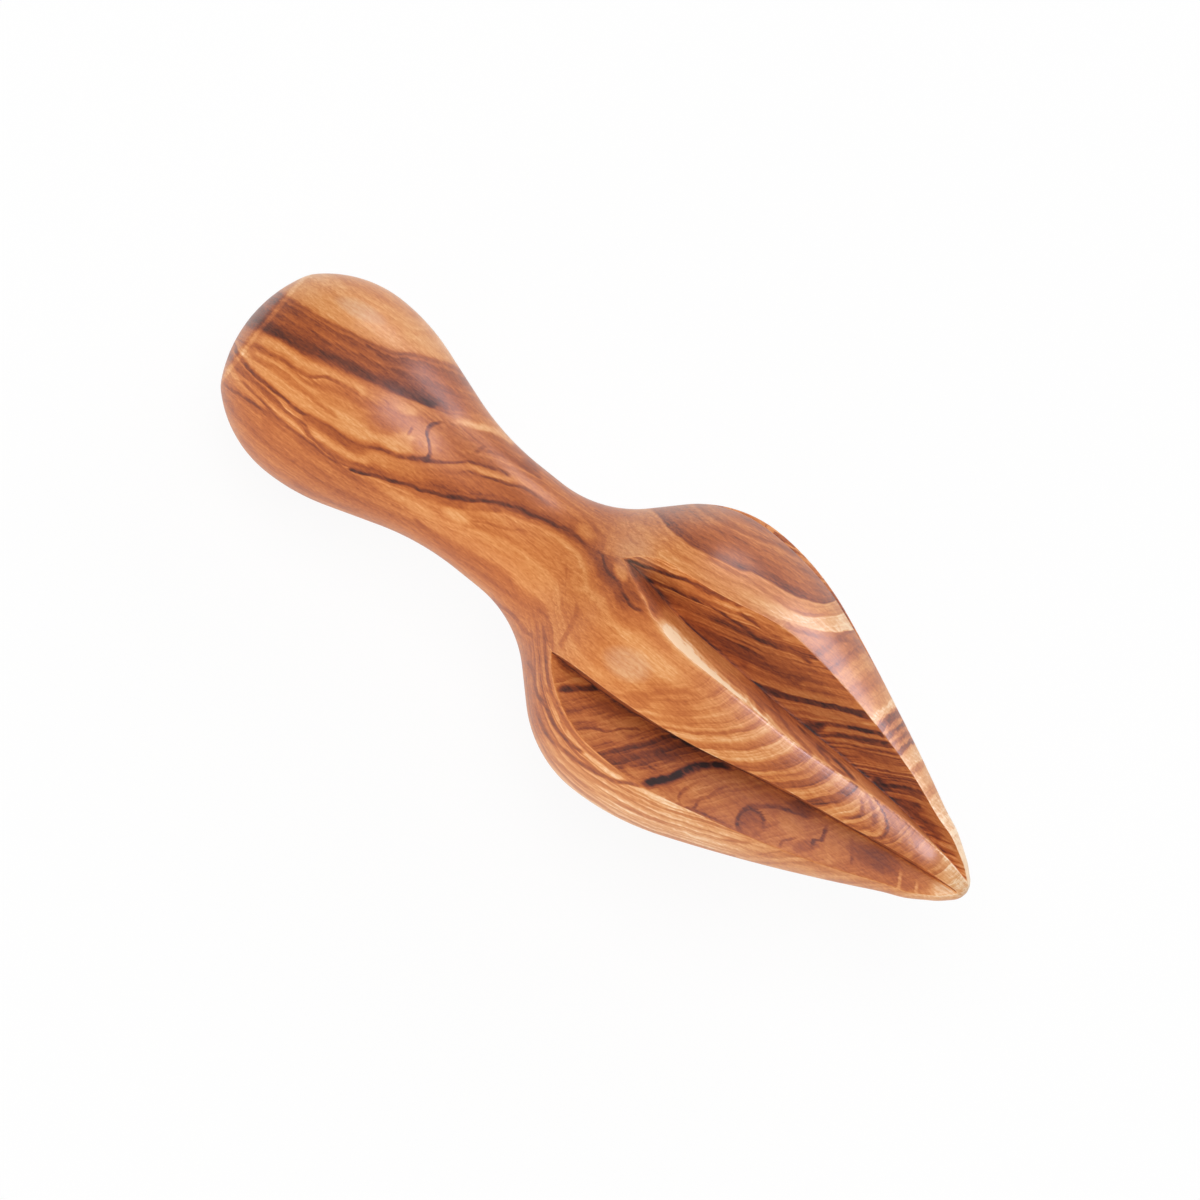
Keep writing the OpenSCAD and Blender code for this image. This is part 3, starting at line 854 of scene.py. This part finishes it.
# the rib in the middle: plain and pale on the shoulder, streaked across towards the tip
middleRib = {
    "bow": 0.013,
    "tones": [(100, .65), (118, .59), (130, .62), (140, .57), (147, .66), (155, .57), (163, .65), (172, .56), (180, .66),
              (188, .54), (196, .76), (203, .62), (211, .54), (218, .72), (231, .70), (238, .44), (246, .46),
              (250, .66), (254, .60), (257, .46), (261, .62), (268, .42), (276, .44), (281, .66), (291, .62),
              (297, .32), (303, .38), (309, .64), (316, .68)],
    "farTones": [(300, .62), (312, .68), (318, .64), (322, .42), (327, .62), (333, .60), (338, .46), (343, .60),
                 (349, .68), (354, .34), (358, .54), (365, .48), (372, .56), (378, .48), (386, .56), (393, .46),
                 (403, .50), (415, .50), (425, .58), (438, .66), (460, .70)],
    "veins": [(0.50, 2.2, 4, [(66, -60), (75, -52), (85, -44), (95, -35), (103, -27), (114, -18), (128, -9)])],
    "patches": [
        (0.80, 0.7, (10, -40), (30, 24), 60), (0.76, 0.9, (48, -33), (26, 18), 20), (0.49, 0.8, (80, -54), (17, 9), 25),
        (0.50, 0.7, (52, 5), (32, 7), -3), (0.42, 0.8, (408, 8), (13, 7), 0), (0.50, 0.5, (115, -40), (20, 14), 30),
        (0.46, 0.6, (292, -8), (14, 5), 50),
    ],
}


def middleRibTone(along, across, depth, worn, fine, broad):
    bowed = along + (across - 14) * (across - 14) * middleRib["bow"]
    grain = streaks(across + along * 0.4, bowed, depth, 2.4, 12)
    along, across = along + grain * 3, across + grain * 3
    near = toneBands(bowed + grain * 9, 100, 316, middleRib["tones"])
    arched = along + (across + 5) * (across + 5) * 0.06
    far = toneBands(arched + grain * 6, 300, 460, middleRib["farTones"])
    crossed = blend(near, far, spread(along, 302, 318)) + grain * 0.2
    crossed = crossed + lines(bowed + grain * 10, 5.0, 6.0) * spread(along, 100, 240, 0.16, 0.46)
    plain = 0.70 + broad * 0.25 + fine * 0.12
    crossed = crossed * 1.25 - 0.145
    tone = blend(plain, crossed, spread(bowed, 84, 128))
    tone = dab(tone, along, across, middleRib["patches"])
    return lay(tone, along, across, middleRib["veins"], worn)


# the rib above: a brown oval on the shoulder, a pale band below it, pale lilac towards the tip
upperRib = {
    "ovalLow": [(-60, 90), (-40, 98), (-22, 103), (-10, 101), (0, 99), (20, 98), (40, 101), (60, 106), (80, 111),
                (90, 115), (105, 118), (120, 121), (135, 124), (150, 129), (160, 134), (167, 140), (174, 150),
                (200, 180)],
    "midLine": [(0, 93), (30, 97), (60, 102), (90, 107), (120, 110), (150, 114), (160, 119), (170, 126),
                (178, 134), (186, 144), (200, 162)],
    "lightLow": [(-40, 50), (60, 74), (100, 88), (130, 94), (150, 101), (165, 107), (178, 114), (190, 121),
                 (198, 128), (206, 138), (220, 160)],
    "veins": [
        (0.36, 1.2, 3, [(145, 95), (158, 97), (166, 100), (178, 106), (190, 112), (200, 118), (208, 124),
                        (218, 132)]),
        (0.46, 0.8, 2, [(40, 99), (55, 101), (70, 104), (86, 108)]),
        (0.58, 0.8, 2, [(-32, 93), (-15, 91), (0, 91), (15, 92)]),
        (0.50, 0.8, 2.5, [(-38, 75), (-32, 70), (-22, 66), (-12, 66)]),
    ],
    "stripes": [(160, .60), (178, .54), (190, .44), (200, .52), (208, .42), (218, .60), (230, .64), (243, .50),
                (250, .54), (262, .66), (272, .70), (276, .86), (280, .84), (285, .36), (290, .34), (296, .62),
                (300, .34), (306, .62), (311, .40), (316, .62), (320, .36), (326, .74), (340, .80), (346, .56),
                (352, .76), (368, .74), (374, .60), (382, .80), (400, .84), (450, .86)],
}


def upperRibTone(along, across, depth, worn):
    grain = streaks(along, across - along * 0.2, depth, 2.4, 22)
    wavy = streaks(across, along, depth, 3.0, 10)
    along, across = along + grain * 2, across + grain * 3
    oval = across - follow(along, upperRib["ovalLow"])[0]
    middle = across - follow(along, upperRib["midLine"])[0]
    light = across - follow(along, upperRib["lightLow"])[0]
    brown = toneBands(oval, 0, 60, [(0, .36), (4, .30), (10, .38), (18, .42), (30, .46), (44, .44), (60, .56)])
    upper = blend(spread(along, 60, 170, 0.66, 0.87), spread(along, 60, 150, 0.59, 0.66), spread(middle, -0.5, 1.5))
    upper = blend(upper, 0.50, spread(Wire.maths("ABSOLUTE", middle), 0.8, 3.2, 0.8, 0.0) * spread(along, -30, 60))
    tone = blend(upper, brown, spread(oval, -1, 1)) + lines(oval + grain * 4, 6.0, 8.0) * 0.50
    leaning = along - (across - 90) * 0.30 + wavy * 10
    stripes = toneBands(leaning, 160, 450, upperRib["stripes"]) * 1.2 - 0.12 + lines(leaning, 6.0, 2.0) * 0.3
    tone = blend(stripes, tone, spread(light, -1.5, 1) * spread(along, 230, 215))
    tone = blend(tone, 0.66, spread(along, 145, 100) * spread(light, 0, -2))
    return lay(tone, along, across, upperRib["veins"], worn) + grain * 0.24


# the rib below: fine dark lines that keep their distance from the outline
lowerRib = {
    "veins": [
        (0.24, 1.2, 2.4, [(-32, -95), (-20, -98), (-10, -107), (-3, -113), (5, -117), (15, -120), (25, -125),
                          (35, -129), (45, -131), (60, -132), (74, -130)]),
        (0.34, 1.2, 2.6, [(0, -124), (10, -129), (20, -134), (30, -139), (45, -142), (60, -142), (75, -141),
                          (90, -139), (100, -137), (110, -134), (120, -129), (130, -124), (142, -118)]),
        (0.48, 0.7, 2, [(-20, -88), (-10, -96), (0, -103), (15, -108), (25, -114), (35, -121), (48, -127)]),
        (0.60, 0.7, 2, [(30, -148), (50, -149), (70, -149), (90, -148), (110, -144), (130, -139), (150, -133),
                        (170, -126)]),
        (0.56, 0.7, 2, [(40, -154), (60, -155), (80, -156), (100, -154), (120, -150), (140, -146), (160, -141),
                        (182, -133)]),
        (0.56, 0.7, 2, [(230, -114), (245, -104), (260, -92)]),
        (0.50, 0.8, 2, [(264, -106), (275, -95), (288, -80), (302, -67)]),
    ],
    "patches": [(0.40, 0.8, (-25, -98), (16, 7), -35), (0.46, 0.6, (5, -126), (46, 9), -38)],
}


def lowerRibTone(along, across, depth, worn, radius):
    inset = across + radius / figure["stepAcross"]
    grain = streaks(along, inset, depth, 2.0, 40, 4.0)
    along, across = along + grain * 2, across + grain * 2
    layers = lines(inset + along * 0.025 + grain * 3, 6.0, 7.0)
    tone = spread(layers, -0.14, 0.10, -0.26, 0.05) + spread(along, -40, 150, 0.58, 0.86)
    swept = 0.60 + lines(along * 0.75 - across * 0.9 + grain * 5, 9.0, 3.0) * 0.65
    tone = blend(tone, swept, spread(along, 215, 300, 0.0, 0.85))
    tone = dab(tone, along, across, lowerRib["patches"])
    return lay(tone, along, across, lowerRib["veins"], worn) + grain * 0.2


def hiddenTone(along, across, depth, fine):
    # growth layers for the surfaces that no laid line reaches
    bend = noise(place(along * 0.0030, across * 0.009, depth * 0.009), 1.0, 2.0) - 0.5
    layer = across * 0.048 + depth * 0.038 + bend * 9.0 + fine * 0.5
    bands = Wire.node("ShaderNodeTexNoise", {"noise_dimensions": "1D"},
                      {"W": layer * 0.62, "Scale": 1.0, "Detail": 3.0, "Roughness": 0.6})
    return toneBands(bands, 0.28, 0.72, [(0.28, .16), (0.34, .28), (0.39, .44), (0.42, .26), (0.44, .50),
                                         (0.50, .56), (0.535, .62), (0.55, .30), (0.565, .60), (0.62, .70),
                                         (0.64, .42), (0.66, .68), (0.72, .76)])


def makeWood():
    wood = bpy.data.materials.new("oiled_olive_wood")
    wood.use_nodes = True
    Wire.tree = wood.node_tree
    shader = wood.node_tree.nodes["Principled BSDF"]

    fromEnd = vectorMaths("SUBTRACT", Wire.node("ShaderNodeTexCoord", out=3), tuple(gripEnd))
    axial = vectorMaths("DOT_PRODUCT", fromEnd, tuple(axisDir), 1) / mm
    sideways = vectorMaths("DOT_PRODUCT", fromEnd, tuple(acrossDir), 1) / mm
    nearness = vectorMaths("DOT_PRODUCT", fromEnd, tuple(faceDir), 1) / mm
    trueAlong = (axial - figure["lean"] * nearness - figure["middle"]) / figure["stepAlong"]
    trueAcross = sideways / figure["stepAcross"]
    depth = nearness / figure["stepAcross"]
    radius = mark("turnedRadius")

    # how far below the seen side: the lines wander more the deeper they go
    chord = Wire.maths("SQRT", Wire.maths("MAXIMUM", radius * radius - sideways * sideways, 0.0))
    slide = 2 * figure["wander"] + spread(chord - nearness, 4.0, 26.0) * (2 * figure["deepWander"])
    push = noise(place(trueAlong * 0.016, trueAcross * 0.035, depth * 0.016), 1.0, 3.0) - 0.5
    pushAlong = noise(place(trueAlong * 0.020, trueAcross * 0.022, depth * 0.014 + 40.0), 1.0, 3.0) - 0.5
    ragged = noise(place(trueAlong * 0.045, trueAcross * 0.065, depth * 0.03), 1.0, 3.0, 0.55) - 0.5
    along = trueAlong + pushAlong * slide - ragged * figure["ragged"]
    across = trueAcross + push * slide + ragged * figure["ragged"]

    fine = streaks(trueAlong, trueAcross, depth, 2.4, 26)
    broad = streaks(trueAlong, trueAcross, depth, 16, 10, 2.0, 0.5)
    thin = streaks(trueAlong, trueAcross, depth, 5.5, 22, 2.0, 0.5)
    speck = streaks(trueAlong, trueAcross, depth, 1.6, 3.5, 2.0, 0.6)

    worn = wear(trueAlong, trueAcross, depth)

    hidden = hiddenTone(trueAlong, trueAcross, depth, fine)
    gripShade = Wire.group("grip", gripTone, along=along, across=across, fine=fine, worn=worn)
    tone = blend(gripShade, hidden, spread(chord - nearness, 10.0, 24.0))
    onHead = spread(axial, 66.0, 76.0)
    onBulge = spread(axial, 80.0, 88.0)
    inFlute = spread(mark("cutDepth"), 0.02, 0.10)
    tone = blend(tone, hidden, onHead)
    tone = blend(tone, gripShade, mark("lowerRib"))
    for region, build, given, edge in (
            ("upperRib", upperRibTone, {}, onHead),
            ("underRib", lowerRibTone, {"radius": radius}, onHead),
            ("lowerRib", middleRibTone, {"fine": fine, "broad": broad}, onBulge),
            ("upperFar", upperWallTone, {}, inFlute),
            ("upperNear", upperBackTone, {}, inFlute),
            ("lowerFar", paintedShadeWallTone, {}, inFlute),
            ("lowerNear", lowerWallTone, {}, inFlute)):
        shade = Wire.group(region, build, along=along, across=across, depth=depth, worn=worn,
                           **given)
        tone = blend(tone, shade, mark(region) * edge)

    tone = tone + fine * (2 * figure["fineStreak"]) + broad * (2 * figure["broadStreak"])
    tone = tone + thin * (2 * figure["thinStreak"]) + speck * (2 * figure["speckStreak"])
    # darker in the roots of the flutes: painted shade in the creases
    # paler along the ridges: partly worn wood, partly a painted highlight
    tone = tone + mark("ridge") * figure["edgeWearAndHighlight"] - mark("root") * figure["rootPaintedShade"]
    # paler towards the tip: painted light
    tone = tone + spread(axial, 138, 149) * figure["tipPaintedLight"]
    colour = Wire.node("ShaderNodeValToRGB", {"stops": figure["tones"]}, {0: tone})
    # pale chalky spots on the seen side: partly dry scuffs, partly painted sheen
    dryAndSheen = 0.0
    for oval in figure["drySpotsAndSheen"]:
        dryAndSheen = dryAndSheen + spot(along, across, *oval)
    dryAndSheen = dryAndSheen * spread(depth, 0, 30) * spread(speck, -0.2, 0.1, 0.6, 1.0)
    Wire.feed(blendColour(colour, figure["chalkAndSheen"], dryAndSheen), shader.inputs["Base Color"])
    Wire.feed(0.38 + fine * 0.3 + inFlute * 0.26 + mark("root") * 0.3 + dryAndSheen * 0.3, shader.inputs["Roughness"])
    Wire.feed(0.26 - inFlute * 0.20, shader.inputs["Coat Weight"])
    bump = Wire.node("ShaderNodeBump", sockets={"Strength": 0.22, "Distance": 0.00012, "Height": fine + speck})
    Wire.feed(bump, shader.inputs["Normal"])
    shader.inputs["Coat Roughness"].default_value = 0.28
    shader.inputs["Specular IOR Level"].default_value = 0.22
    return wood


body.data.materials.append(makeWood())
print("wood made")

# The camera looks almost straight down, with the tip towards the lower right
shot = {
    "tipNearer": math.radians(6.0),
    "distance": 1.464,
    "frameWidth": 0.1952,
    "alongImage": (0.77992, -0.62587),
    "middle": 0.0754,                # where on the axis the picture's centre lies
    "offset": (-0.00143, 0.00099),
}


def placeCamera():
    view = faceDir * math.cos(shot["tipNearer"]) + axisDir * math.sin(shot["tipNearer"])
    along = acrossDir.cross(view)
    right = along * shot["alongImage"][0] - acrossDir * shot["alongImage"][1]
    up = along * shot["alongImage"][1] + acrossDir * shot["alongImage"][0]
    target = gripEnd + axisDir * shot["middle"] + right * shot["offset"][0] + up * shot["offset"][1]
    data = bpy.data.cameras.new("camera")
    data.sensor_width = 36
    data.lens = data.sensor_width * shot["distance"] / shot["frameWidth"]
    camera = bpy.data.objects.new("camera", data)
    bpy.context.scene.collection.objects.link(camera)
    turn = Matrix((right, up, view)).transposed().to_4x4()
    camera.matrix_world = Matrix.Translation(target + view * shot["distance"]) @ turn
    bpy.context.scene.camera = camera


placeCamera()

studio = {
    "floorSize": 3.0,
    "floorShade": 0.90,
    "whiteSeen": 0.93,        # how much of the floor's look is plain white paper, to the camera
    "whiteMirrored": 0.5,     # and in reflections
    # each lamp: the way to it (along the axis, across it, towards the seen side), its distance,
    # width and height in metres, power in watts, colour, and what of it shows
    "lamps": {
        "top": ((-0.1, 0.35, 1.0), 1.2, (0.9, 0.9), 8.0, (1.0, 0.98, 0.95), "light"),
        "side": ((0.2, 0.92, 0.17), 0.9, (1.05, 0.4), 2.6, (0.94, 0.97, 1.0), "light"),
        "fill": ((-0.1, -0.85, 0.45), 1.1, (1.0, 0.6), 8.5, (1.0, 0.97, 0.93), "light"),
        "window": ((-0.16, 0.98, 0.12), 0.9, (0.34, 0.26), 2.4, (0.90, 0.94, 1.0), "gloss"),
        "doorway": ((0.51, 0.86, 0.0), 0.9, (0.44, 0.46), 8.0, (0.80, 0.86, 1.0), "gloss"),
        "skylight": ((0.62, 0.32, 0.70), 1.0, (0.42, 0.42), 12.0, (0.82, 0.86, 1.0), "gloss"),
    },
    "worldStrength": 0.36,
}


def makeFloor():
    # the camera and reflections see it part white paper, part lit floor, so it keeps the shadow
    size = studio["floorSize"]
    mesh = bpy.data.meshes.new("floor")
    corners = [(-size, -size, 0), (size, -size, 0), (size, size, 0), (-size, size, 0)]
    mesh.from_pydata(corners, [], [(0, 1, 2, 3)])
    floor = bpy.data.objects.new("floor", mesh)
    bpy.context.scene.collection.objects.link(floor)
    paper = bpy.data.materials.new("pale_paper")
    paper.use_nodes = True
    Wire.tree = paper.node_tree
    shader = paper.node_tree.nodes["Principled BSDF"]
    shade = studio["floorShade"]
    shader.inputs["Base Color"].default_value = (shade, shade, shade, 1)
    shader.inputs["Roughness"].default_value = 0.9
    seen = Wire.node("ShaderNodeLightPath") * studio["whiteSeen"]
    mirrored = Wire.node("ShaderNodeLightPath", out=3) * studio["whiteMirrored"]
    white = Wire.node("ShaderNodeEmission", sockets={"Color": (1, 1, 1, 1), "Strength": 1.0})
    both = Wire.node("ShaderNodeMixShader", sockets={0: seen + mirrored, 1: Wire(shader.outputs[0]), 2: white})
    Wire.feed(both, paper.node_tree.nodes["Material Output"].inputs[0])
    mesh.materials.append(paper)


def makeLamp(name, direction, distance, size, power, colour, shows):
    data = bpy.data.lights.new(name, "AREA")
    data.shape = "RECTANGLE"
    data.size, data.size_y = size
    data.energy = power
    data.color = colour
    lamp = bpy.data.objects.new(name, data)
    bpy.context.scene.collection.objects.link(lamp)
    lamp.visible_glossy = shows == "gloss"
    lamp.visible_diffuse = shows == "light"
    towards = (axisDir * direction[0] + acrossDir * direction[1] + faceDir * direction[2]).normalized()
    lamp.location = towards * distance
    lamp.rotation_euler = towards.to_track_quat("Z", "Y").to_euler()


def setWorld():
    world = bpy.context.scene.world or bpy.data.worlds.new("world")
    bpy.context.scene.world = world
    world.use_nodes = True
    background = world.node_tree.nodes["Background"]
    background.inputs["Color"].default_value = (1, 1, 1, 1)
    background.inputs["Strength"].default_value = studio["worldStrength"]


makeFloor()
for name, lamp in studio["lamps"].items():
    makeLamp(name, *lamp)
setWorld()
bpy.context.scene.view_settings.view_transform = "Standard"
print("stage set")
